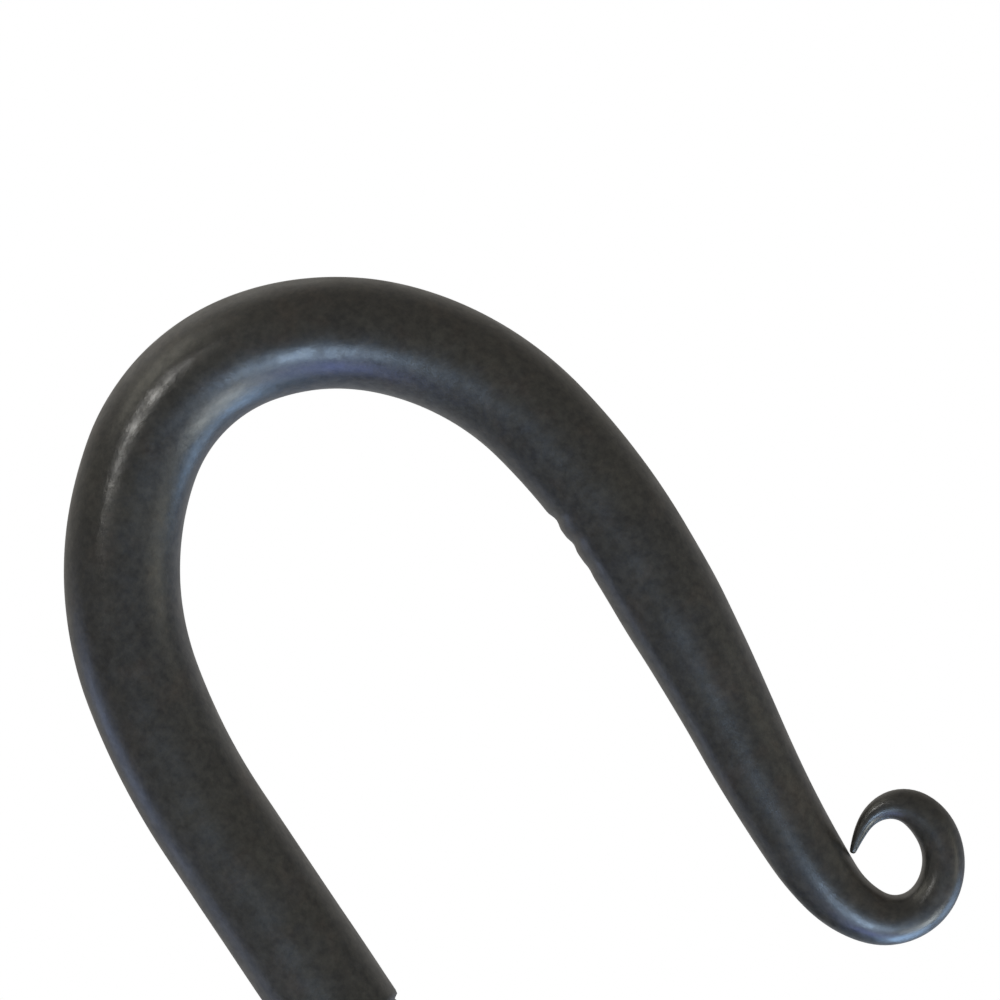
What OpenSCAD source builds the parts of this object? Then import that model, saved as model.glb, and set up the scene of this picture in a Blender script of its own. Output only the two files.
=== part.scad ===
// Cockspur window handle with a forged shepherd's crook grip.
//
// A back plate is screwed to the window's stile. A cockspur forging turns on a stud riveted through
// that plate: its spur reaches over the keep on the frame, and its neck is cranked out from the sash
// to carry the round crook that the hand takes hold of.
//
// Frame: the origin is on the back plate's rear face, on the pivot's axis. +Z is up, +X points along
// the closed spur, and -Y points out of the window into the room. Each piece is drawn flat, with x to
// the right, y up and z out from the sash, and on_sash() stands it up in that frame.

/* [Back plate] */
// Width of the back plate across the stile
plate_w = 20; // [19:0.5:26]
// Height of the back plate
plate_h = 52; // [50:1:64]
// Thickness of the back plate
plate_t = 4; // [3.5:0.5:5]
// Distance between the two screw holes
hole_pitch = 38; // [36:1:40]
// Diameter of the screw holes
screw_hole_d = 4.5; // [3.5:0.1:5]
// Bevel round the front edge of the plate
plate_bevel = 1; // [0.4:0.1:1.5]

/* [Pivot] */
// Diameter of the stud where the cockspur turns on it
journal_d = 8; // [7:0.5:9]
// Diameter of the stud's tail, riveted through the plate
tail_d = 6; // [5:0.5:6.5]
// Diameter of the stud's threaded end
thread_d = 5; // [4:0.5:5]
// Radial clearance between the cockspur's bore and the stud
running_gap = 0.05; // [0.02:0.01:0.1]

/* [Cockspur] */
// Radius of the eye that turns on the stud
eye_r = 10.5; // [10:0.5:12]
// Thickness of the eye
eye_t = 8; // [7:0.5:9]
// Reach of the spur from the pivot's axis
spur_reach = 32; // [28:1:40]
// Width of the spur near its tip
spur_tip_w = 6; // [5:0.5:8]
// Angle that the handle turns from closed to open
turn_angle = 90; // [70:5:100]

/* [Neck] */
// Depth below the pivot at which the neck ends and the crook begins
neck_drop = 36; // [34:1:42]
// Distance from the sash to the middle of the crook
crook_stand = 22; // [20:0.5:26]
// Width and thickness of the neck where it meets the crook
neck_end_w = 7; // [6.4:0.2:7.4]

/* [Crook] */
// Diameter of the round bar that the crook is bent from
bar_d = 8; // [7.6:0.1:8.2]
// Sides of the bar's cross-section
bar_sides = 28; // [16:4:32]
// Diameter of the tenon that joins the crook to the neck
tenon_d = 4.5; // [4:0.1:4.8]
// Length of that tenon
tenon_len = 9; // [7:0.5:10]

/* [Hidden] */
$fn = 64;
see = 0.1;              // how far a cutting tool runs past the face that it cuts

iron = [0.17, 0.17, 0.17];
dark_steel = [0.24, 0.24, 0.25];
brass = [0.72, 0.58, 0.32];

// The stack along the pivot, out from the sash
rivet_recess = 0.2;     // the riveted tail ends just below the plate's rear face
collar_z = plate_t;
collar_t = 1.5;
collar_r = 6.25;
washer_z = collar_z + collar_t;
washer_t = 0.95;
face_gap = 0.05;        // running clearance at each face of the eye
eye_z = washer_z + washer_t + face_gap;
eye_front = eye_z + eye_t;
wave_z = eye_front + face_gap;
wave_t = 0.5;           // thickness of the wave washer's strip
wave_rise = 0.3;        // how far its waves rise and fall from its middle
cap_z = wave_z + wave_t + 2 * wave_rise + face_gap;
cap_t = 1.2;
nut_z = cap_z + cap_t;

journal_r = journal_d / 2;
tail_r = tail_d / 2;
thread_r = thread_d / 2;
thread_len = 5.5;       // thread inside the nut
rivet_flare = 1;        // the tail spreads by this much at its riveted end

// The stop: a pin in the plate runs in a curved slot in the back of the eye
stop_r = 7.75;
stop_pin_r = 1.25;
stop_slot_depth = 3;
stop_slot_gap = 0.1;
stop_spare = 1.5;       // degrees of slot beyond each end of the turn
stop_pin_top = eye_z + stop_slot_depth - 0.3;

// Screw heads are countersunk at 90 degrees
csk_depth = 2;

// The spur
spur_root_w = 10;
spur_root_x = 4;
spur_tip_r = spur_tip_w / 2;
spur_front_fall = 2;    // the front of the spur falls away towards its tip
spur_ramp_len = 13;     // the lead-in that rides up the keep
spur_ramp_rise = 2.6;

// The neck
neck_t = neck_end_w;
neck_root_w = 12;
neck_start = 9;         // depth below the pivot at which the crank begins
neck_straight = 7;      // straight length above the crook's shoulder
neck_back_z = eye_z + eye_t / 2;
crank_run = neck_drop - neck_start - neck_straight;
crank_rise = crook_stand - neck_back_z;
crank_angle = 2 * atan(crank_rise / crank_run);
crank_r = crank_run / (2 * sin(crank_angle));
crank_steps = 16;

// The tenon and the pin through it
tenon_gap = 0.05;
tenon_pin_r = 1.25;
tenon_pin_drop = 4;     // from the shoulder up to the pin's axis
tenon_pin_proud = 0.3;
tenon_root = 2;         // the tenon runs this far inside the bar

// The bends of the crook from its shoulder to its tip: [length of bar, degrees of turn].
// A turn above 0 bends the bar round the hand, and one below 0 curls it back outwards.
edge_len = 0.5;         // the shoulder's edge is broken over this length
crook_bends = [
    // straight shank
    [edge_len, 0], [16.5, 0],
    // the loop that turns the bar back up
    [11, 14], [15.5, 40], [11.5, 51], [9.5, 32.5], [11.5, 31.5], [11.5, 14],
    // the arm, which straightens and starts to lean out
    [14.5, 4.5], [8.5, -5.5], [3.2, -6],
    // the scroll at the tip
    [3.7, -30], [5.1, -83.5], [3.35, -42.5], [3, -41], [2.3, -56], [2.1, -43], [1.75, -8]
];
// The bar's diameter as a share of bar_d, at distances along it
crook_taper = [
    [0, 0.88], [edge_len, 1], [35, 1], [62, 0.96], [84, 0.925], [92, 0.9], [98, 0.815], [107, 0.69],
    [112, 0.62], [115, 0.54], [120, 0.4], [125, 0.365], [128, 0.355], [130.4, 0.27], [132.2, 0.16],
    [134, 0.1], [135, 0.06]
];
step_turn = 8;          // most degrees of bend between two rings
step_len = 5;           // most length of bar between two rings

// Stands a flat-drawn piece up against the sash
module on_sash() rotate([90, 0, 0]) children();

// Triangles of the skin over rings of n points each; ring number `wrap` is the first one again
function skin(rings, n, wrap) = [
    for (i = [0:rings - 2], j = [0:n - 1])
        let (a = i * n + j, b = i * n + (j + 1) % n,
             c = (i + 1) % wrap * n + (j + 1) % n, d = (i + 1) % wrap * n + j)
        each [[a, d, c], [a, c, b]]
];

// A slot's outline along an arc of radius r, from one angle to another
module arc_slot(r, half_w, from, to, depth) {
    rotate([0, 0, from]) rotate_extrude(angle = to - from)
        translate([r - half_w, 0]) square([2 * half_w, depth]);
    for (a = [from, to]) rotate([0, 0, a]) translate([r, 0, 0]) cylinder(r = half_w, h = depth);
}

// A block as wide as w with its two front edges bevelled, drawn as a section
module bevelled_section(w, t, bevel)
    polygon([[-w / 2, 0], [w / 2, 0], [w / 2, t - bevel], [w / 2 - bevel, t],
             [-w / 2 + bevel, t], [-w / 2, t - bevel]]);

// The plate is the part that a bevelled bar up the stile and one across it have in common
module back_plate() color(iron) on_sash() difference() {
    intersection() {
        rotate([90, 0, 0]) linear_extrude(plate_h, center = true)
            bevelled_section(plate_w, plate_t, plate_bevel);
        rotate([90, 0, 90]) linear_extrude(plate_w, center = true)
            bevelled_section(plate_h, plate_t, plate_bevel);
    }
    for (side = [-1, 1]) translate([0, side * hole_pitch / 2, 0]) screw_hole();
    translate([0, 0, -see]) cylinder(r = tail_r, h = plate_t + 2 * see);
    rivet_cone(rivet_recess + see);
    translate([0, stop_r, -see]) cylinder(r = stop_pin_r, h = plate_t + 2 * see);
}

// A through hole with a countersink that opens to the front
module screw_hole() {
    r = screw_hole_d / 2;
    translate([0, 0, -see]) cylinder(r = r, h = plate_t + 2 * see);
    translate([0, 0, plate_t - csk_depth])
        cylinder(r1 = r, r2 = r + csk_depth + see, h = csk_depth + see);
}

// The flare of the stud's tail behind the plate, with a plug that opens it to the rear
module rivet_cone(open_to) {
    translate([0, 0, rivet_recess]) cylinder(r1 = tail_r + rivet_flare, r2 = tail_r, h = rivet_flare);
    translate([0, 0, rivet_recess - open_to]) cylinder(r = tail_r + rivet_flare, h = open_to);
}

// Turned stud: riveted tail, collar on the plate, journal, and a threaded end for the nut
module pivot_stud() color(dark_steel) on_sash() rotate_extrude() {
    tip = nut_z + thread_len;
    break_edge = 0.5;
    polygon([
        [0, rivet_recess], [tail_r + rivet_flare, rivet_recess], [tail_r, rivet_recess + rivet_flare],
        [tail_r, collar_z], [collar_r, collar_z], [collar_r, washer_z],
        [journal_r, washer_z], [journal_r, cap_z], [thread_r, cap_z],
        [thread_r, tip - break_edge], [thread_r - break_edge, tip], [0, tip]
    ]);
}

// Hardened pin pressed into the plate, which stops the handle at each end of its turn
module stop_pin() color(dark_steel) on_sash() translate([0, stop_r, 0]) {
    break_edge = 0.3;
    rotate_extrude() polygon([
        [0, rivet_recess], [stop_pin_r, rivet_recess], [stop_pin_r, stop_pin_top - break_edge],
        [stop_pin_r - break_edge, stop_pin_top], [0, stop_pin_top]
    ]);
}

// A flat ring
module flat_washer(r, hole_r, z, t) translate([0, 0, z]) difference() {
    cylinder(r = r, h = t);
    translate([0, 0, -see]) cylinder(r = hole_r, h = t + 2 * see);
}

module thrust_washer() color(brass) on_sash()
    flat_washer(collar_r, journal_r + 0.1, washer_z, washer_t);

module cap_washer() color(dark_steel) on_sash() flat_washer(7, thread_r + 0.1, cap_z, cap_t);

// Sprung strip with three waves: it presses the eye back on the thrust washer
module wave_washer() {
    inner = journal_r + 0.2;
    outer = 6.8;
    waves = 3;
    turns = 48;
    corners = [[inner, 0], [outer, 0], [outer, wave_t], [inner, wave_t]];
    n = len(corners);
    points = [for (i = [0:turns - 1], c = corners)
        let (a = 360 * i / turns, lift = wave_z + wave_rise * (1 + sin(waves * a)))
        [c[0] * cos(a), c[0] * sin(a), lift + c[1]]];
    color(dark_steel) on_sash() polyhedron(points, skin(turns + 1, n, turns));
}

// Cap nut: a hexagon with its corners turned off, under a dome
module dome_nut() color(dark_steel) on_sash() translate([0, 0, nut_z]) {
    hex_r = 8 / sqrt(3);
    hex_h = 4;
    hex_break = 0.5;
    dome_r = 3.75;
    neck_h = 4.6;
    difference() {
        union() {
            intersection() {
                linear_extrude(hex_h) circle(r = hex_r, $fn = 6);
                rotate_extrude() polygon([
                    [0, 0], [hex_r - hex_break, 0], [hex_r, hex_break / 2],
                    [hex_r, hex_h - hex_break / 2], [hex_r - hex_break, hex_h], [0, hex_h]
                ]);
            }
            cylinder(r = dome_r, h = neck_h);
            translate([0, 0, neck_h]) sphere(r = dome_r);
        }
        translate([0, 0, -hex_h]) cylinder(r = hex_r, h = hex_h);
        cylinder(r = thread_r, h = thread_len + 0.6);
    }
}

// The forging that turns: eye, spur and cranked neck in one piece
module cockspur() color(iron) on_sash() difference() {
    union() {
        eye();
        spur();
        neck();
    }
    translate([0, 0, eye_z - see]) cylinder(r = journal_r + running_gap, h = eye_t + 2 * see);
    translate([0, 0, eye_z - see])
        arc_slot(stop_r, stop_pin_r + stop_slot_gap, 90 - stop_spare, 90 + turn_angle + stop_spare,
                 stop_slot_depth + see);
    translate([0, -neck_drop - see, crook_stand]) rotate([-90, 0, 0])
        cylinder(r = tenon_d / 2 + tenon_gap, h = tenon_len + 0.4 + see);
    translate([0, tenon_pin_drop - neck_drop, 0]) cylinder(r = tenon_pin_r, h = 2 * crook_stand);
}

// Round eye with its front edge bevelled
module eye() translate([0, 0, eye_z]) rotate_extrude() {
    bevel = 0.8;
    polygon([[0, 0], [eye_r - bevel / 2, 0], [eye_r, bevel / 2], [eye_r, eye_t - bevel],
             [eye_r - bevel, eye_t], [0, eye_t]]);
}

// Tapering tongue with a round tip; its side view has the lead-in ramp at the back
module spur() intersection() {
    tip_x = spur_reach - spur_tip_r;
    translate([0, 0, eye_z]) linear_extrude(eye_t) {
        polygon([[spur_root_x, -spur_root_w / 2], [tip_x, -spur_tip_r], [tip_x, spur_tip_r],
                 [spur_root_x, spur_root_w / 2]]);
        translate([tip_x, 0]) circle(r = spur_tip_r);
    }
    rotate([90, 0, 0]) linear_extrude(2 * spur_root_w, center = true) polygon([
        [0, eye_z], [spur_reach - spur_ramp_len, eye_z], [spur_reach, eye_z + spur_ramp_rise],
        [spur_reach, eye_front - spur_front_fall], [eye_r, eye_front - 0.5], [0, eye_front - 0.5]
    ]);
}

// Points of one side of the crank, at a distance to one side of its middle line
function crank_side(offset) = concat(
    [for (i = [0:crank_steps])
        let (a = crank_angle * i / crank_steps, r = crank_r - offset)
        [-neck_start - r * sin(a), neck_back_z + crank_r - r * cos(a)]],
    [for (i = [crank_steps:-1:0])
        let (a = crank_angle * i / crank_steps, r = crank_r + offset)
        [-neck_drop + neck_straight + r * sin(a), crook_stand - crank_r + r * cos(a)]]
);
function reversed(list) = [for (i = [len(list) - 1:-1:0]) list[i]];

// Neck: a side view with the crank, cut to a front view that narrows towards the crook
module neck() intersection() {
    half_t = neck_t / 2;
    rotate([90, 0, 90]) linear_extrude(2 * neck_root_w, center = true) polygon(concat(
        [[0, neck_back_z + half_t]], crank_side(half_t), [[-neck_drop, crook_stand + half_t]],
        [[-neck_drop, crook_stand - half_t]], reversed(crank_side(-half_t)),
        [[0, neck_back_z - half_t]]
    ));
    half_root = neck_root_w / 2;
    half_end = neck_end_w / 2;
    waist = neck_straight - neck_drop;
    linear_extrude(2 * crook_stand) polygon([
        [-half_root, 0], [-half_root, -neck_start], [-half_end, waist], [-half_end, -neck_drop],
        [half_end, -neck_drop], [half_end, waist], [half_root, -neck_start], [half_root, 0]
    ]);
}

// The bend plan cut into short equal steps, each [length, turn]
crook_steps = [
    for (b = crook_bends)
        let (n = max(ceil(abs(b[1]) / step_turn), ceil(b[0] / step_len)))
        for (i = [1:n]) b / n
];

// Direction of the bar after it has turned by h from straight down
function heading(h) = [-sin(h), -cos(h)];
// Straight distance across a step that bends evenly
function chord(step) = step[1] == 0 ? step[0] : 2 * step[0] / (step[1] * PI / 180) * sin(step[1] / 2);
// Stations along the bar's middle line, each [place, turn so far, length so far]
function walk(steps, i = 0, at = [0, 0], h = 0, run = 0) = concat(
    [[at, h, run]],
    i == len(steps) ? [] : walk(steps, i + 1, at + chord(steps[i]) * heading(h + steps[i][1] / 2),
                                h + steps[i][1], run + steps[i][0])
);

// The tapering bar, bent in one plane and closed at both ends
module crook_bar() {
    stations = walk(crook_steps);
    n = bar_sides;
    rings = len(stations);
    points = [for (s = stations, j = [0:n - 1])
        let (r = bar_d / 2 * lookup(s[2], crook_taper), a = 360 * j / n, across = r * cos(a))
        [s[0][0] + across * cos(s[1]), s[0][1] - across * sin(s[1]), r * sin(a)]];
    shoulder = [for (j = [0:n - 1]) j];
    tip = [for (j = [n - 1:-1:0]) (rings - 1) * n + j];
    polyhedron(points, concat(skin(rings, n, rings), [shoulder, tip]));
}

// The crook hangs from the neck by a round tenon, cross-drilled for its pin
module crook_handle() color(iron) on_sash() translate([0, -neck_drop, crook_stand]) difference() {
    union() {
        crook_bar();
        translate([0, -tenon_root, 0]) rotate([-90, 0, 0])
            cylinder(r = tenon_d / 2, h = tenon_len + tenon_root);
    }
    translate([0, tenon_pin_drop, 0]) cylinder(r = tenon_pin_r, h = 2 * bar_d, center = true);
}

// Pin driven through the neck and the tenon, front to back, with its ends peened round
module tenon_pin() color(dark_steel) on_sash()
    translate([0, tenon_pin_drop - neck_drop, crook_stand]) {
        half = neck_t / 2 + tenon_pin_proud;
        rotate_extrude() polygon([
            [0, -half], [tenon_pin_r - tenon_pin_proud, -half], [tenon_pin_r, tenon_pin_proud - half],
            [tenon_pin_r, half - tenon_pin_proud], [tenon_pin_r - tenon_pin_proud, half], [0, half]
        ]);
    }

back_plate();
pivot_stud();
stop_pin();
thrust_washer();
cockspur();
crook_handle();
tenon_pin();
wave_washer();
cap_washer();
dome_nut();
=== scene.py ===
"""Looks for the cockspur window handle: forged crook, cockspur and plate, turned stud, washers and nut.

Everything is in metres in the CAD frame: +Z up the stile, +X along the closed spur, -Y into the room.
"""

import math

import bpy
import numpy as np
from mathutils import Matrix, Vector, noise


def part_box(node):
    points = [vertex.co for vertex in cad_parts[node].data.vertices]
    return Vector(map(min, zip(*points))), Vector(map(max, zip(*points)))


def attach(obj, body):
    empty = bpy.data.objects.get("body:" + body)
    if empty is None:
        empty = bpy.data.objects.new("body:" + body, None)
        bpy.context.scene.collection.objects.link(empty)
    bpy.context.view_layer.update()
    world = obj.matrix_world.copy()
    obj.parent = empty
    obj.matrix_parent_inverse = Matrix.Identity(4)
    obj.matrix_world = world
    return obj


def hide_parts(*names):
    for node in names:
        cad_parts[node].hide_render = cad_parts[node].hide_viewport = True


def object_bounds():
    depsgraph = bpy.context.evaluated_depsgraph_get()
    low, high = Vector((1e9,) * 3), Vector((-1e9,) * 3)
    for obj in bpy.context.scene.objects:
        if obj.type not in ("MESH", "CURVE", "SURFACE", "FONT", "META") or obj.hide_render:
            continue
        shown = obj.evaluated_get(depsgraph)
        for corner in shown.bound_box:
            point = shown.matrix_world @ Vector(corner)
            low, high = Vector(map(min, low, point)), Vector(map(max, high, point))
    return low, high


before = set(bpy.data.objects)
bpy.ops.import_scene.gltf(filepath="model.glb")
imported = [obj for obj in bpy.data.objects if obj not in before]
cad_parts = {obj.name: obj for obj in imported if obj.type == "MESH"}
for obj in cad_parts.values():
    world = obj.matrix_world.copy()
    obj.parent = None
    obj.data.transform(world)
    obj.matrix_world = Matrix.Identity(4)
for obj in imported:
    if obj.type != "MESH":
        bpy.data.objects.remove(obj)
CAD_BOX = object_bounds()
MM = 0.001

# ---------------------------------------------------------------- sizes, from the CAD frame
CROOK_LOW, CROOK_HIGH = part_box("crook_handle")
BAR_R = (CROOK_HIGH.y - CROOK_LOW.y) / 2
CROOK_Y = (CROOK_HIGH.y + CROOK_LOW.y) / 2
SHOULDER_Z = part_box("cockspur")[0].z
TENON_R = 2.25 * MM
TENON_LEN = 9 * MM
JOURNAL_R = 4 * MM         # of the stud, where the handle turns on it
TAIL_R = 3 * MM            # of the stud, in the plate
THREAD_R = 2.5 * MM        # of the stud, in the nut

# The crook's bends from its shoulder to its tip, as in the CAD: [millimetres of bar, degrees of turn].
# A turn above 0 bends the bar round the hand, and one below 0 curls it back outwards.
CROOK_BENDS = [
    # straight shank
    [17, 0],
    # the loop that turns the bar back up
    [11, 14], [15.5, 40], [11.5, 51], [9.5, 32.5], [11.5, 31.5], [11.5, 14],
    # the arm, which straightens and starts to lean out
    [14.5, 4.5], [8.5, -5.5], [3.2, -6],
    # the scroll at the tip
    [3.7, -30], [5.1, -83.5], [3.35, -42.5], [3, -41], [2.3, -56], [2.1, -43], [1.75, -8],
]
# The bar's radius as a share of its full radius, at millimetres along it
CROOK_TAPER = [
    [0, 1], [35, 1], [62, 0.96], [84, 0.925], [92, 0.9], [98, 0.815], [107, 0.69], [112, 0.62],
    [115, 0.54], [120, 0.4], [125, 0.365], [128, 0.355], [130.4, 0.27], [132.2, 0.16],
    [134, 0.1], [135, 0.06],
]
SHOULDER_EDGE = 0.45 * MM  # how far the edge round the shoulder is rounded
CROOK_SIDES = 72           # points round the bar
CROOK_SEED = 3.1           # picks the hammer's marks on the bar
CROOK_MARK_SIZE = 5 * MM
CROOK_MARK_DEPTH = 0.055 * MM
MARKS_FROM = 1.5 * MM      # from the shoulder, where the hammer's marks start
MARKS_FULL = 5.5 * MM      # and where they are full
FORGING_MARK_SIZE = 4.5 * MM
FLAT_DEPTH = 0.02 * MM     # of the faint long flats that drawing down leaves
NICKS = (                  # in the arm's inner side: (distance along the bar, half length, depth)
    (82.2 * MM, 0.9 * MM, 0.17 * MM),
    (84.4 * MM, 0.8 * MM, 0.13 * MM),
    (86.6 * MM, 0.9 * MM, 0.06 * MM),
)
WEAR_FROM = 0.006 * MM     # how far a point stands proud of its neighbours where wear starts
WEAR_FULL = 0.022 * MM     # and where it is full


# ---------------------------------------------------------------- mesh helpers
def mesh_object(name, verts, faces):
    """A smooth-shaded mesh object."""
    mesh = bpy.data.meshes.new(name)
    mesh.from_pydata([tuple(v) for v in verts], [], faces)
    mesh.validate()
    mesh.shade_smooth()
    thing = bpy.data.objects.new(name, mesh)
    bpy.context.scene.collection.objects.link(thing)
    return thing


def place(piece, body, material, slot, *nodes):
    """Gives a finished piece its material and its body, and hides the CAD nodes that it stands for.
    `slot` is not used.
    """
    piece.data.materials.clear()
    piece.data.materials.append(material)
    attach(piece, body)
    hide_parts(*nodes)
    return piece


def skin(rings, sides, closed_loop=False):
    """Quads between rings of points that follow each other in one list."""
    faces = []
    last = rings if closed_loop else rings - 1
    for i in range(last):
        here, there = i * sides, (i + 1) % rings * sides
        for j in range(sides):
            k = (j + 1) % sides
            faces.append((here + j, here + k, there + k, there + j))
    return faces


def soften(outline, radius, steps=5, closed=False):
    """The outline with each corner rounded off over `radius`. An open outline keeps its two ends."""
    points = [Vector(p) for p in outline]
    count = len(points)
    soft = []
    for i, p in enumerate(points):
        if not closed and i in (0, count - 1):
            soft.append(p)
            continue
        before, after = points[i - 1] - p, points[(i + 1) % count] - p
        reach = min(radius, 0.45 * before.length, 0.45 * after.length)
        start, end = p + before.normalized() * reach, p + after.normalized() * reach
        for step in range(steps + 1):
            t = step / steps
            soft.append(start * (1 - t) ** 2 + p * (2 * t * (1 - t)) + end * t ** 2)
    return soft


def turned(name, outline, segments=128, closed=False):
    """A body turned round the pivot's axis. The outline holds (radius, distance out from the sash)."""
    verts = []
    for r, out in outline:
        for j in range(segments):
            a = 2 * math.pi * j / segments
            verts.append((r * math.cos(a), -out, r * math.sin(a)))
    faces = skin(len(outline), segments, closed_loop=closed)
    if not closed:
        faces.append(tuple(range(segments))[::-1])
        first = (len(outline) - 1) * segments
        faces.append(tuple(range(first, first + segments)))
    return mesh_object(name, verts, faces)


def out_from_sash(node):
    """How far a CAD node reaches out from the sash: (nearest, furthest)."""
    low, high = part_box(node)
    return -high.y, -low.y


# ---------------------------------------------------------------- the crook
def crook_line(step=0.25 * MM, blur=1.2 * MM):
    """Even stations along the bar: places (x, z), headings in radians, and distances along it."""
    lengths = np.array([b[0] for b in CROOK_BENDS]) * MM
    turns = np.radians([b[1] for b in CROOK_BENDS])
    total = lengths.sum()
    count = int(round(total / step))
    run = np.linspace(0, total, count + 1)
    # the heading is the blurred running sum of the turns, so the bends flow into each other
    knots = np.concatenate([[0], np.cumsum(lengths)])
    sums = np.concatenate([[0], np.cumsum(turns)])
    offsets = np.linspace(-blur, blur, 25)
    weights = 1 + np.cos(math.pi * offsets / blur)
    weights /= weights.sum()
    heading = sum(w * np.interp(run + o, knots, sums) for o, w in zip(offsets, weights))
    middle = (heading[1:] + heading[:-1]) / 2
    ds = total / count
    x = np.concatenate([[0], np.cumsum(-np.sin(middle) * ds)])
    z = SHOULDER_Z + np.concatenate([[0], np.cumsum(-np.cos(middle) * ds)])
    return np.stack([x, z], 1), heading, run


def bar_radius(run):
    """The bar's radius at a distance along it, with the taper's corners eased."""
    knots = np.array([t[0] for t in CROOK_TAPER]) * MM
    shares = [t[1] for t in CROOK_TAPER]
    ease = min(1.0 * MM, 0.5 * (knots[-1] - run), 0.5 * run)
    return BAR_R * sum(np.interp(run + o * ease, knots, shares) for o in (-1, -0.5, 0, 0.5, 1)) / 5


def hammer_marks(point, seed, size, depth):
    """How far out hammering moves the surface at a point: broad unevenness and softer flats."""
    broad = noise.noise(Vector(point) / (2.2 * size) + Vector((seed, 0, 0)), noise_basis="PERLIN_NEW")
    flats = noise.noise(Vector(point) / size + Vector((0, seed, 7.3)), noise_basis="PERLIN_NEW")
    return -depth * (0.1 + 0.5 * broad + 0.4 * flats)


def long_flats(run, around):
    """The faint long flats left where the bar was drawn down square, then eight-sided, then round."""
    strength = 0.5 + 0.5 * math.sin(run / (9 * MM)) * math.cos(run / (23 * MM) + 1)
    phase = math.pi / 8 + 0.3 * math.sin(run / (31 * MM))
    return FLAT_DEPTH * strength * math.cos(8 * (around - phase)) / 2


def nick_depth(run, around):
    """Small nicks left in the inner side of the arm by the edge of the anvil."""
    across = max(0.0, math.cos(around + math.pi)) ** 3
    depth = 0.0
    for middle, half, deepest in NICKS:
        along = (run - middle) / half
        if abs(along) < 1:
            depth += deepest * across * (1 + math.cos(math.pi * along)) / 2
    return depth


def across_bar(heading, around):
    """The direction out of the bar's middle line at an angle round its section."""
    return Vector((math.cos(heading) * math.cos(around), -math.sin(around),
                   -math.sin(heading) * math.cos(around)))


def crook_bar():
    """The forged bar: its tenon, shoulder, bends, taper and scroll as one swept skin."""
    places, headings, runs = crook_line()
    angles = [2 * math.pi * j / CROOK_SIDES for j in range(CROOK_SIDES)]
    # rings: [index of station, distance back from the shoulder, radius]
    rings = [[0, TENON_LEN, TENON_R - 0.4 * MM], [0, TENON_LEN - 0.3 * MM, TENON_R],
             [0, 0.3 * MM, TENON_R], [0, 0, TENON_R + 0.1 * MM]]
    rings += [[0, 0, r] for r in (2.7 * MM, 3.1 * MM, BAR_R - SHOULDER_EDGE)]
    for i, run in enumerate(runs):
        r = bar_radius(run)
        if run < SHOULDER_EDGE:
            r -= SHOULDER_EDGE - math.sqrt(SHOULDER_EDGE ** 2 - (SHOULDER_EDGE - run) ** 2)
        rings.append([i, 0, r])
    tip_r = rings[-1][2]
    verts = []
    for i, back, r in rings:
        (x, z), heading, run = places[i], headings[i], runs[i]
        middle = Vector((x, CROOK_Y, z + back))
        for a in angles:
            side = across_bar(heading, a)
            reach = r
            if run > MARKS_FROM:
                fade = min(1.0, (run - MARKS_FROM) / (MARKS_FULL - MARKS_FROM)) * min(1.0, r / (2 * MM))
                marks = hammer_marks(middle + side * r, CROOK_SEED, CROOK_MARK_SIZE, CROOK_MARK_DEPTH)
                reach += fade * (marks - long_flats(run, a)) - nick_depth(run, a)
            verts.append(middle + side * reach)
    # blunt, rounded tip
    (x, z), heading = places[-1], headings[-1]
    tip = Vector((x, CROOK_Y, z))
    along = Vector((-math.sin(heading), 0, -math.cos(heading)))
    for t in np.radians((35, 65)):
        end = tip + along * tip_r * math.sin(t)
        for a in angles:
            verts.append(end + across_bar(heading, a) * tip_r * math.cos(t))
    count = len(verts) // CROOK_SIDES
    faces = skin(count, CROOK_SIDES)
    faces.append(tuple(range(CROOK_SIDES))[::-1])
    faces.append(tuple(range((count - 1) * CROOK_SIDES, count * CROOK_SIDES)))
    return mesh_object("crook_bar", verts, faces)


# ---------------------------------------------------------------- forged pieces from their CAD shapes
def mark_wear(mesh, points, normals):
    """Stores how proud each point stands of its neighbours, from 0 on flats to 1 on worn edges."""
    pairs = np.zeros((len(mesh.edges), 2), np.int32)
    mesh.edges.foreach_get("vertices", pairs.ravel())
    count = np.bincount(pairs.ravel(), minlength=len(points))[:, None]

    def neighbours(values):
        total = np.zeros_like(values)
        np.add.at(total, pairs[:, 0], values[pairs[:, 1]])
        np.add.at(total, pairs[:, 1], values[pairs[:, 0]])
        return total / np.maximum(count, 1)

    proud = ((points - neighbours(points)) * normals).sum(1, keepdims=True)
    for _ in range(3):
        proud = (proud + neighbours(proud)) / 2
    worn = np.clip((proud - WEAR_FROM) / (WEAR_FULL - WEAR_FROM), 0, 1)
    wear = mesh.attributes.new("wear", "FLOAT", "POINT")
    wear.data.foreach_set("value", worn.ravel().astype(np.float32))


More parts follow.
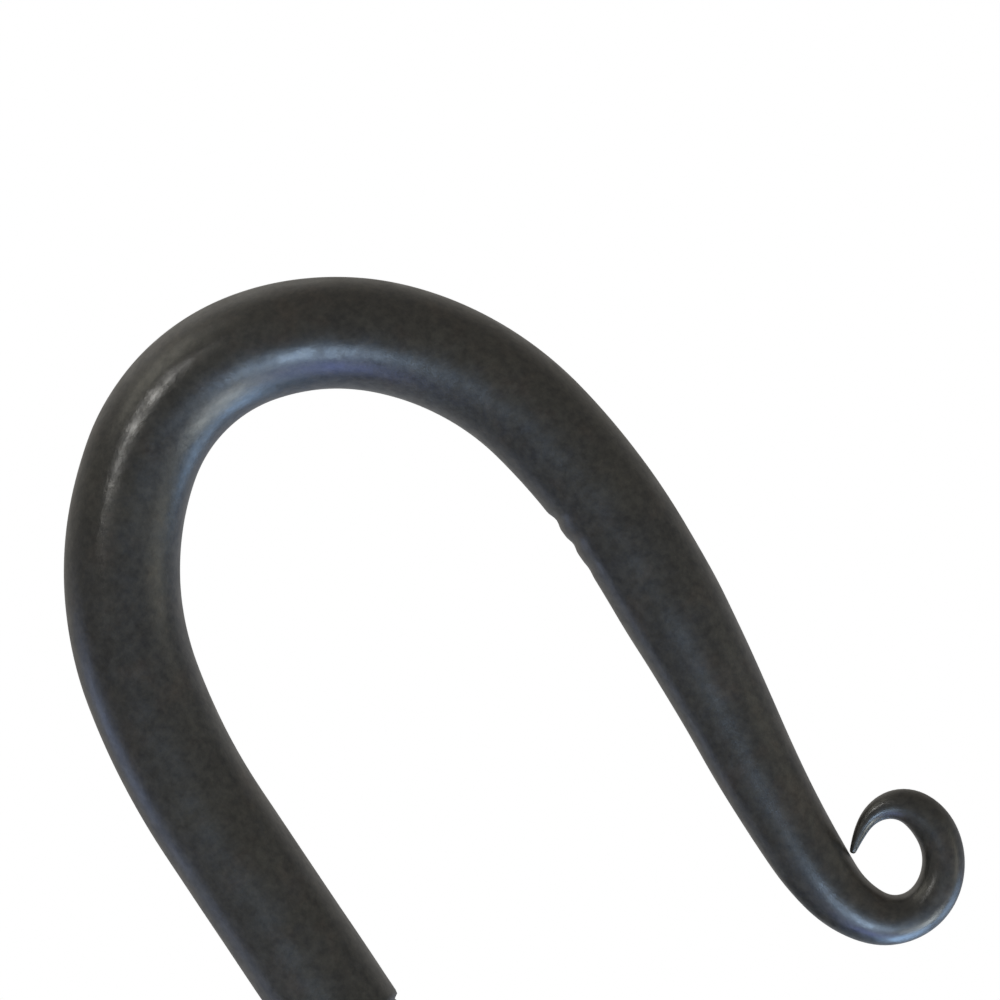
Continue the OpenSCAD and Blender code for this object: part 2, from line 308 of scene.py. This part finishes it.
def forged_copy(name, node, rounding, marks, seed):
    """A forging with the CAD node's shape, its edges worn round and its faces lightly hammered.

    `rounding` is how many times it is smoothed, and `marks` is how deep the hammer's marks are.
    """
    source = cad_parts[node]
    start = bpy.data.objects.new(name + "_start", source.data.copy())
    bpy.context.scene.collection.objects.link(start)
    remesh = start.modifiers.new("remesh", "REMESH")
    remesh.mode = "VOXEL"
    remesh.voxel_size = 0.18 * MM
    remesh.adaptivity = 0
    smooth = start.modifiers.new("smooth", "SMOOTH")
    smooth.factor = 0.5
    smooth.iterations = rounding
    graph = bpy.context.evaluated_depsgraph_get()
    mesh = bpy.data.meshes.new_from_object(start.evaluated_get(graph))
    bpy.data.objects.remove(start)
    low, high = (np.array(c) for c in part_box(node))
    points = np.zeros((len(mesh.vertices), 3), np.float32)
    normals = np.zeros((len(mesh.vertices), 3), np.float32)
    mesh.vertices.foreach_get("co", points.ravel())
    mesh.vertices.foreach_get("normal", normals.ravel())
    depths = np.array([hammer_marks(p, seed, FORGING_MARK_SIZE, marks) for p in points])
    points = np.clip(points + normals * depths[:, None], low, high)
    mesh.vertices.foreach_set("co", points.astype(np.float32).ravel())
    mesh.update()
    mark_wear(mesh, points, normals)
    mesh.name = name
    mesh.shade_smooth()
    piece = bpy.data.objects.new(name, mesh)
    bpy.context.scene.collection.objects.link(piece)
    return piece


# ---------------------------------------------------------------- turned pieces
def stud_body():
    """The turned stud: riveted tail, collar, journal and threaded end."""
    near, far = out_from_sash("pivot_stud")
    collar_from = out_from_sash("back_plate")[1]
    collar_to = out_from_sash("thrust_washer")[0]
    shoulder = out_from_sash("cap_washer")[0]
    collar_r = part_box("pivot_stud")[1].x
    centre = 0.02 * MM
    flare = 1 * MM
    chamfer = 0.5 * MM
    outline = [
        # the riveted tail
        (centre, near), (TAIL_R + flare, near), (TAIL_R, near + flare), (TAIL_R, collar_from),
        # the collar and the journal
        (collar_r, collar_from), (collar_r, collar_to), (JOURNAL_R, collar_to), (JOURNAL_R, shoulder),
        # the threaded end
        (THREAD_R, shoulder), (THREAD_R, far - chamfer), (THREAD_R - chamfer, far), (centre, far),
    ]
    return turned("stud_body", soften(outline, 0.15 * MM))


def ring(name, node, inner, edge=0.12 * MM):
    """A flat turned ring that fills its CAD node."""
    near, far = out_from_sash(node)
    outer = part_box(node)[1].x
    outline = [(inner, near), (outer, near), (outer, far), (inner, far)]
    return turned(name, soften(outline, edge, closed=True), closed=True)


def wave_ring():
    """The sprung washer, a thin strip with three waves."""
    near, far = out_from_sash("wave_washer")
    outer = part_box("wave_washer")[1].x
    inner = JOURNAL_R + 0.2 * MM
    strip = 0.5 * MM
    rise = (far - near - strip) / 2
    waves = 3
    segments = 240
    section = soften([(inner, 0), (outer, 0), (outer, strip), (inner, strip)], 0.1 * MM, closed=True)
    verts = []
    for i in range(segments):
        a = 2 * math.pi * i / segments
        lift = near + rise * (1 + math.sin(waves * a))
        for r, up in section:
            verts.append((r * math.cos(a), -(lift + up), r * math.sin(a)))
    sides = len(section)
    faces = [tuple(reversed(f)) for f in skin(segments, sides, closed_loop=True)]
    return mesh_object("wave_ring", verts, faces)


def acorn_nut():
    """Cap nut: a hexagon with its corners turned off under a polished dome, bored blind from below."""
    near, far = out_from_sash("dome_nut")
    flat_r = 4 * MM                  # half of the 8 mm across its flats
    corner_r = flat_r / math.cos(math.radians(30))
    dome_r = 3.75 * MM
    hex_top = near + 4 * MM
    segments = 192

    def hexagon(a):
        folded = (a + math.pi / 6) % (math.pi / 3) - math.pi / 6
        return min(flat_r / math.cos(folded), corner_r - 0.08 * MM)

    # each ring is (limit on the radius, height): the hexagon is cut back to the limit
    bore_end = near + 6 * MM
    rings = [(0.02 * MM, bore_end), (THREAD_R, bore_end), (THREAD_R, near + 0.3 * MM),
             (THREAD_R + 0.3 * MM, near)]
    # the seat's turned edge, the flats and their turned top edge
    rings += [(flat_r - 0.1 * MM, near), (flat_r + 0.15 * MM, near + 0.05 * MM),
              (corner_r, near + 0.35 * MM)]
    rings += [(corner_r, near + t * MM) for t in (1.2, 2.0, 2.8, 3.5)]
    rings += [(corner_r - 0.12 * MM, hex_top - 0.3 * MM), (flat_r + 0.25 * MM, hex_top - 0.12 * MM),
              (flat_r + 0.05 * MM, hex_top - 0.02 * MM)]
    # the groove under the dome, and the dome
    rings += [(dome_r + 0.1 * MM, hex_top), (dome_r, hex_top + 0.12 * MM)]
    dome_from = far - dome_r
    rings += [(dome_r * math.cos(t), dome_from + dome_r * math.sin(t))
              for t in np.radians(np.linspace(0, 89.5, 26))]
    verts = []
    for limit, out in rings:
        for j in range(segments):
            a = 2 * math.pi * j / segments
            r = min(limit, hexagon(a))
            verts.append((r * math.cos(a), -out, r * math.sin(a)))
    faces = skin(len(rings), segments)
    faces.append(tuple(range(segments))[::-1])
    first = (len(rings) - 1) * segments
    faces.append(tuple(range(first, first + segments)))
    return mesh_object("acorn_nut", verts, faces)


def small_pin(name, node):
    """A pin along Y that fills its CAD node, with soft ends."""
    low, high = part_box(node)
    r = (high.x - low.x) / 2
    half = (high.y - low.y) / 2
    centre = 0.01 * MM
    end_r = 0.6 * r
    taper = 0.3 * MM
    outline = [(centre, -half), (end_r, -half), (r, taper - half), (r, half - taper),
               (end_r, half), (centre, half)]
    pin = turned(name, soften(outline, 0.35 * MM), segments=64)
    pin.data.transform(Matrix.Translation((low + high) / 2))
    return pin


# ---------------------------------------------------------------- materials
def srgb(*levels):
    """A linear colour from screen levels of 0 to 255."""
    shares = [v / 255 for v in levels]
    return tuple(v / 12.92 if v <= 0.04 else ((v + 0.055) / 1.055) ** 2.4 for v in shares) + (1,)


class Shader:
    """A material under construction, with short ways to add the nodes that all finishes share."""

    def __init__(self, name):
        self.material = bpy.data.materials.new(name)
        self.material.use_nodes = True
        self.nodes = self.material.node_tree.nodes
        self.links = self.material.node_tree.links
        self.surface = self.nodes["Principled BSDF"]
        self.where = self.nodes.new("ShaderNodeTexCoord").outputs["Object"]

    def noise(self, size, detail=3.0, rough=0.55, seed=0.0):
        """Noise whose lumps are about `size` metres across."""
        node = self.nodes.new("ShaderNodeTexNoise")
        node.inputs["Scale"].default_value = 1 / size
        node.inputs["Detail"].default_value = detail
        node.inputs["Roughness"].default_value = rough
        shift = self.nodes.new("ShaderNodeMapping")
        shift.inputs["Location"].default_value = (seed, seed * 0.7, -seed)
        self.links.new(self.where, shift.inputs["Vector"])
        self.links.new(shift.outputs["Vector"], node.inputs["Vector"])
        return node.outputs["Fac"]

    def ramp(self, fac, *stops):
        """A colour ramp with (position, colour or level) stops."""
        node = self.nodes.new("ShaderNodeValToRGB")
        spots = node.color_ramp.elements
        while len(spots) < len(stops):
            spots.new(0.5)
        for spot, (position, value) in zip(spots, stops):
            spot.position = position
            spot.color = value if isinstance(value, tuple) else (value, value, value, 1)
        self.links.new(fac, node.inputs["Fac"])
        return node.outputs["Color"]

    def mix(self, fac, a, b):
        """Colour a blended to colour b."""
        node = self.nodes.new("ShaderNodeMix")
        node.data_type = "RGBA"
        for socket, value in ((node.inputs[0], fac), (node.inputs[6], a), (node.inputs[7], b)):
            if isinstance(value, (tuple, float)):
                socket.default_value = value
            else:
                self.links.new(value, socket)
        return node.outputs[2]

    def math(self, operation, a, b):
        """One arithmetic step on two sockets or numbers."""
        node = self.nodes.new("ShaderNodeMath")
        node.operation = operation
        for socket, value in ((node.inputs[0], a), (node.inputs[1], b)):
            if isinstance(value, (float, int)):
                socket.default_value = value
            else:
                self.links.new(value, socket)
        return node.outputs[0]

    def worn_edges(self, low, high):
        """0 on flats and in hollows, 1 on the proudest edges."""
        node = self.nodes.new("ShaderNodeNewGeometry")
        return self.ramp(node.outputs["Pointiness"], (low, 0.0), (high, 1.0))

    def attribute(self, name):
        """A number that the mesh carries at each of its points."""
        node = self.nodes.new("ShaderNodeAttribute")
        node.attribute_name = name
        return node.outputs["Fac"]

    def bump(self, height, depth, after=None):
        """A bump of `depth` metres."""
        node = self.nodes.new("ShaderNodeBump")
        node.inputs["Strength"].default_value = 1.0
        node.inputs["Distance"].default_value = depth
        self.links.new(height, node.inputs["Height"])
        if after is not None:
            self.links.new(after, node.inputs["Normal"])
        return node.outputs["Normal"]

    def set(self, socket, value):
        """A constant on the surface's own socket, or a link to it."""
        if isinstance(value, (tuple, float, int)):
            self.surface.inputs[socket].default_value = value
        else:
            self.links.new(value, self.surface.inputs[socket])


IRON_IOR = 2.2             # near that of magnetite, the black scale on forged iron


def forged_iron(name, seed, wear=None):
    """Black, waxed, hand-forged iron: mottled scale with brown and blue-black patches and a soft sheen.

    `wear` names the mesh's own measure of worn edges, which come out bright.
    """
    s = Shader(name)
    scale = s.ramp(s.noise(7 * MM, 4.0, 0.6, seed), (0.32, srgb(45, 43, 41)), (0.5, srgb(56, 52, 45)),
                   (0.68, srgb(74, 68, 55)))
    brown = s.ramp(s.noise(3.2 * MM, 4.0, 0.65, seed + 2), (0.52, 0.0), (0.68, 0.8))
    mottled = s.mix(brown, scale, srgb(91, 73, 58))
    blue = s.ramp(s.noise(2.4 * MM, 4.0, 0.65, seed + 7), (0.55, 0.0), (0.70, 0.45))
    mottled = s.mix(blue, mottled, srgb(54, 57, 67))
    fine = s.ramp(s.noise(0.6 * MM, 4.0, 0.7, seed + 3), (0.34, srgb(32, 30, 26)),
                  (0.66, srgb(110, 104, 90)))
    iron = s.mix(0.5, mottled, fine)
    if wear is not None:
        patchy = s.ramp(s.noise(1.5 * MM, 3.0, 0.6, seed + 5), (0.35, 0.25), (0.6, 1.0))
        burnish = s.math("MULTIPLY", s.attribute(wear), patchy)
        iron = s.mix(burnish, iron, srgb(167, 163, 156))
    s.set("Base Color", iron)
    s.set("Roughness", s.ramp(s.noise(1.6 * MM, 5.0, 0.7, seed + 9), (0.32, 0.29), (0.68, 0.46)))
    s.set("Metallic", 0.0)
    s.set("IOR", IRON_IOR)
    grain = s.bump(s.noise(0.25 * MM, 4.0, 0.65, seed + 11), 0.010 * MM)
    pitted = s.bump(s.noise(0.7 * MM, 4.0, 0.6, seed + 12), 0.014 * MM, grain)
    s.set("Normal", s.bump(s.noise(1.8 * MM, 3.0, 0.5, seed + 13), 0.020 * MM, pitted))
    return s.material


LATHE_PITCH = 0.12 * MM    # from one of the lathe's grooves to the next
LATHE_DEPTH = 0.0015 * MM


def turned_metal(name, colour, light, roughness, metallic, seed):
    """Metal from the lathe: fine rings round the pivot's axis, faint blotches and bright edges.

    The surface runs from `colour` to `light`, and its roughness over the `roughness` pair.
    """
    s = Shader(name)
    blotch = s.mix(s.noise(2 * MM, 4.0, 0.6, seed), colour, light)
    s.set("Base Color", s.mix(s.worn_edges(0.52, 0.6), blotch, light))
    s.set("Metallic", metallic)
    low, high = roughness
    s.set("Roughness", s.ramp(s.noise(1.2 * MM, 3.0, 0.6, seed + 4), (0.3, low), (0.7, high)))
    split = s.nodes.new("ShaderNodeSeparateXYZ")
    s.links.new(s.where, split.inputs[0])
    square = s.math("ADD", s.math("POWER", split.outputs[0], 2.0),
                    s.math("POWER", split.outputs[2], 2.0))
    radius = s.math("SQRT", square, 0.0)
    rings = s.math("SINE", s.math("MULTIPLY", radius, 2 * math.pi / LATHE_PITCH), 0.0)
    grooves = s.bump(rings, LATHE_DEPTH)
    s.set("Normal", s.bump(s.noise(0.3 * MM, 3.0, 0.6, seed + 6), 0.003 * MM, grooves))
    return s.material


# ---------------------------------------------------------------- stage
VIEW_WIDTH = 68.67 * MM          # what the picture shows across, at the crook
VIEW_LENS = 200.0
VIEW_AIM_ACROSS = 28.69 * MM     # from the shank's middle line to the middle of the picture
VIEW_AIM_DOWN = 24.44 * MM       # from the shoulder down to the middle of the picture
SHANK_HEADING = math.radians(123.87)   # which way the shank runs in the picture, from +right to up
LIGHT_AIM = Vector((-0.014, CROOK_Y, -0.045))    # about the middle of the object
LIGHT_DISTANCE = 0.5
ROOM_BELOW = (0.155, 0.150, 0.140, 1)
ROOM_LEVEL = (0.124, 0.120, 0.112, 1)
ROOM_ABOVE = (0.095, 0.108, 0.145, 1)
ROOM_BEHIND = 3.4          # how much brighter the room is straight behind the handle than in front
FLOOR_DROP = 0.12          # from the bottom of the object down to the floor
FLOOR_R = 0.7
FLOOR_FADE = (0.12, 0.6)   # from the middle: where the floor starts to turn white, and where it has


def make_camera():
    """Looks square on at the crook, turned so that the shank runs up and to the left."""
    camera = bpy.data.cameras.new("camera")
    camera.lens = VIEW_LENS
    camera.sensor_width = 36.0
    distance = VIEW_LENS / camera.sensor_width * VIEW_WIDTH
    camera.clip_start = 0.01
    camera.clip_end = 10.0
    # in the picture, straight down (-Z) points along (cos, sin) of the shank's heading
    c, s = math.cos(SHANK_HEADING), math.sin(SHANK_HEADING)
    right = Vector((-s, 0, -c))
    up = Vector((c, 0, -s))
    back = Vector((0, -1, 0))
    target = Vector((-VIEW_AIM_ACROSS, CROOK_Y, SHOULDER_Z - VIEW_AIM_DOWN))
    turn = Matrix((right, up, back)).transposed().to_4x4()
    holder = bpy.data.objects.new("camera", camera)
    holder.matrix_world = Matrix.Translation(target + back * distance) @ turn
    bpy.context.scene.collection.objects.link(holder)
    bpy.context.scene.camera = holder


def soft_light(name, direction, size, power, colour, distance=LIGHT_DISTANCE):
    """A square soft box that faces the middle of the object from a direction."""
    light = bpy.data.lights.new(name, "AREA")
    light.shape = "SQUARE"
    light.size = size
    light.energy = power
    light.color = colour
    holder = bpy.data.objects.new(name, light)
    away = Vector(direction).normalized()
    holder.location = LIGHT_AIM + away * distance
    holder.rotation_mode = "QUATERNION"
    holder.rotation_quaternion = away.to_track_quat("Z", "Y")
    holder.visible_camera = False
    bpy.context.scene.collection.objects.link(holder)
    return holder


def make_surroundings():
    """White to the camera, but a dim room to the object: cool above, warm below, brighter behind."""
    world = bpy.data.worlds.new("room")
    bpy.context.scene.world = world
    world.use_nodes = True
    nodes, links = world.node_tree.nodes, world.node_tree.links
    seen = nodes["Background"]
    seen.inputs["Color"].default_value = (1, 1, 1, 1)
    seen.inputs["Strength"].default_value = 1.0
    split = nodes.new("ShaderNodeSeparateXYZ")
    coords = nodes.new("ShaderNodeTexCoord")
    links.new(coords.outputs["Generated"], split.inputs[0])
    # the dim room's colour, from straight down to straight up
    height = nodes.new("ShaderNodeMapRange")
    height.inputs["From Min"].default_value = -1.0
    links.new(split.outputs["Z"], height.inputs["Value"])
    ramp = nodes.new("ShaderNodeValToRGB")
    spots = ramp.color_ramp.elements
    spots[0].color = ROOM_BELOW
    spots[1].color = ROOM_ABOVE
    middle = spots.new(0.5)
    middle.color = ROOM_LEVEL
    links.new(height.outputs["Result"], ramp.inputs["Fac"])
    lit = nodes.new("ShaderNodeBackground")
    links.new(ramp.outputs["Color"], lit.inputs["Color"])
    # it is brighter behind the handle, which lights up its rims
    depth = nodes.new("ShaderNodeMapRange")
    depth.interpolation_type = "SMOOTHSTEP"
    depth.inputs["To Min"].default_value = 1.0
    depth.inputs["To Max"].default_value = ROOM_BEHIND
    links.new(split.outputs["Y"], depth.inputs["Value"])
    links.new(depth.outputs["Result"], lit.inputs["Strength"])
    choose = nodes.new("ShaderNodeMixShader")
    path = nodes.new("ShaderNodeLightPath")
    links.new(path.outputs["Is Camera Ray"], choose.inputs["Fac"])
    links.new(lit.outputs["Background"], choose.inputs[1])
    links.new(seen.outputs["Background"], choose.inputs[2])
    links.new(choose.outputs["Shader"], nodes["World Output"].inputs["Surface"])


def make_floor():
    """A plain pale floor below the object, which runs into the white backdrop with distance."""
    low = CAD_BOX[0].z - FLOOR_DROP
    sides = 96
    around = [2 * math.pi * i / sides for i in range(sides)]
    rim = [(FLOOR_R * math.cos(a), FLOOR_R * math.sin(a), low) for a in around]
    floor = mesh_object("floor", rim, [tuple(range(sides))])
    s = Shader("floor_paint")
    s.set("Base Color", s.ramp(s.noise(0.3, 2.0, 0.5, 1.0), (0.3, srgb(232, 231, 229)),
                               (0.7, srgb(238, 237, 235))))
    s.set("Roughness", 0.9)
    distance = s.nodes.new("ShaderNodeVectorMath")
    distance.operation = "LENGTH"
    flat = s.nodes.new("ShaderNodeVectorMath")
    flat.operation = "MULTIPLY"
    flat.inputs[1].default_value = (1, 1, 0)
    s.links.new(s.where, flat.inputs[0])
    s.links.new(flat.outputs["Vector"], distance.inputs[0])
    fade = s.ramp(distance.outputs["Value"], (FLOOR_FADE[0], 0.0), (FLOOR_FADE[1], 1.0))
    white = s.nodes.new("ShaderNodeEmission")
    both = s.nodes.new("ShaderNodeMixShader")
    s.links.new(fade, both.inputs["Fac"])
    s.links.new(s.surface.outputs["BSDF"], both.inputs[1])
    s.links.new(white.outputs["Emission"], both.inputs[2])
    s.links.new(both.outputs["Shader"], s.nodes["Material Output"].inputs["Surface"])
    floor.data.materials.append(s.material)
    # the object is lit by its own lights and the room, so it doesn't mirror the floor
    floor.visible_diffuse = False
    floor.visible_glossy = False
    return floor


def light_only(light, collection_name, thing, state):
    """Links a light to one thing ("INCLUDE"), or keeps it off that thing ("EXCLUDE")."""
    receivers = bpy.data.collections.new(collection_name)
    receivers.objects.link(thing)
    light.light_linking.receiver_collection = receivers
    receivers.collection_objects[0].light_linking.link_state = state


make_camera()
make_surroundings()
floor = make_floor()
# the photo's light falls from straight above the hanging handle: blue sky, with paler light to one side.
# Each light has its direction from the object, its size in metres, its power and its colour.
object_lights = [
    soft_light("front_high", (0.29, -0.765, 0.575), 0.12, 0.53, (0.54, 0.74, 1.0)),
    soft_light("top_pale", (-0.09, -0.30, 0.95), 0.20, 0.430, (0.93, 1.0, 0.98)),
    soft_light("top_sky", (0.19, 0.20, 0.96), 0.24, 0.828, (0.40, 0.64, 1.0)),
    soft_light("top_rim", (-0.43, 0.26, 0.87), 0.22, 0.34, (0.42, 0.66, 1.0)),
    soft_light("side_sky", (0.54, -0.26, 0.80), 0.22, 0.265, (0.34, 0.45, 1.0)),
    soft_light("side_pale", (-0.80, -0.26, 0.54), 0.22, 0.086, (1.0, 0.94, 0.72)),
    soft_light("low_pale", (0.19, -0.26, -0.95), 0.22, 0.146, (1.0, 0.98, 0.85)),
    soft_light("low_key", (0.26, -0.75, -0.61), 0.12, 0.45, (1.0, 0.99, 0.95)),
    soft_light("low_rim", (0.0, 0.45, -0.89), 0.40, 0.119, (1.0, 0.98, 0.92)),
    soft_light("rim_sky", (0.95, 0.26, -0.19), 0.22, 0.113, (0.45, 0.60, 1.0)),
]
for lamp in object_lights:
    light_only(lamp, lamp.name + "_receivers", floor, "EXCLUDE")
floor_light = soft_light("floor_light", (0.1, -0.25, 0.95), 0.9, 24.0, (1.0, 1.0, 1.0), distance=1.2)
light_only(floor_light, "floor_light_receivers", floor, "INCLUDE")
bpy.context.scene.view_settings.view_transform = "Standard"

# ---------------------------------------------------------------- the pieces
crook_iron = forged_iron("crook_iron", 2.0)
plate_iron = forged_iron("plate_iron", 17.0, wear="wear")
dark_steel = turned_metal("dark_steel", srgb(100, 100, 103), srgb(160, 160, 163), (0.3, 0.42),
                          0.8, 5.0)
blued_steel = turned_metal("blued_steel", srgb(112, 122, 154), srgb(171, 174, 191), (0.25, 0.36),
                           1.0, 8.0)
brass = turned_metal("dull_brass", srgb(222, 190, 120), srgb(236, 212, 152), (0.28, 0.42),
                     1.0, 11.0)

place(crook_bar(), "handle", crook_iron, "crook_iron", "crook_handle")
place(forged_copy("spur_forging", "cockspur", 16, 0.09 * MM, 5.0),
      "handle", plate_iron, "forged_iron", "cockspur")
place(forged_copy("plate_forging", "back_plate", 10, 0.07 * MM, 9.0),
      "plate", plate_iron, "forged_iron", "back_plate")
place(stud_body(), "plate", dark_steel, "dark_steel", "pivot_stud")
place(ring("thrust_ring", "thrust_washer", JOURNAL_R + 0.1 * MM),
      "plate", brass, "brass_washer", "thrust_washer")
place(wave_ring(), "plate", blued_steel, "spring_steel", "wave_washer")
place(ring("cap_ring", "cap_washer", THREAD_R + 0.1 * MM),
      "plate", dark_steel, "dark_steel", "cap_washer")
place(acorn_nut(), "plate", dark_steel, "dark_steel", "dome_nut")
place(small_pin("stop_peg", "stop_pin"), "plate", dark_steel, "dark_steel", "stop_pin")
place(small_pin("tenon_rivet", "tenon_pin"), "handle", dark_steel, "dark_steel", "tenon_pin")
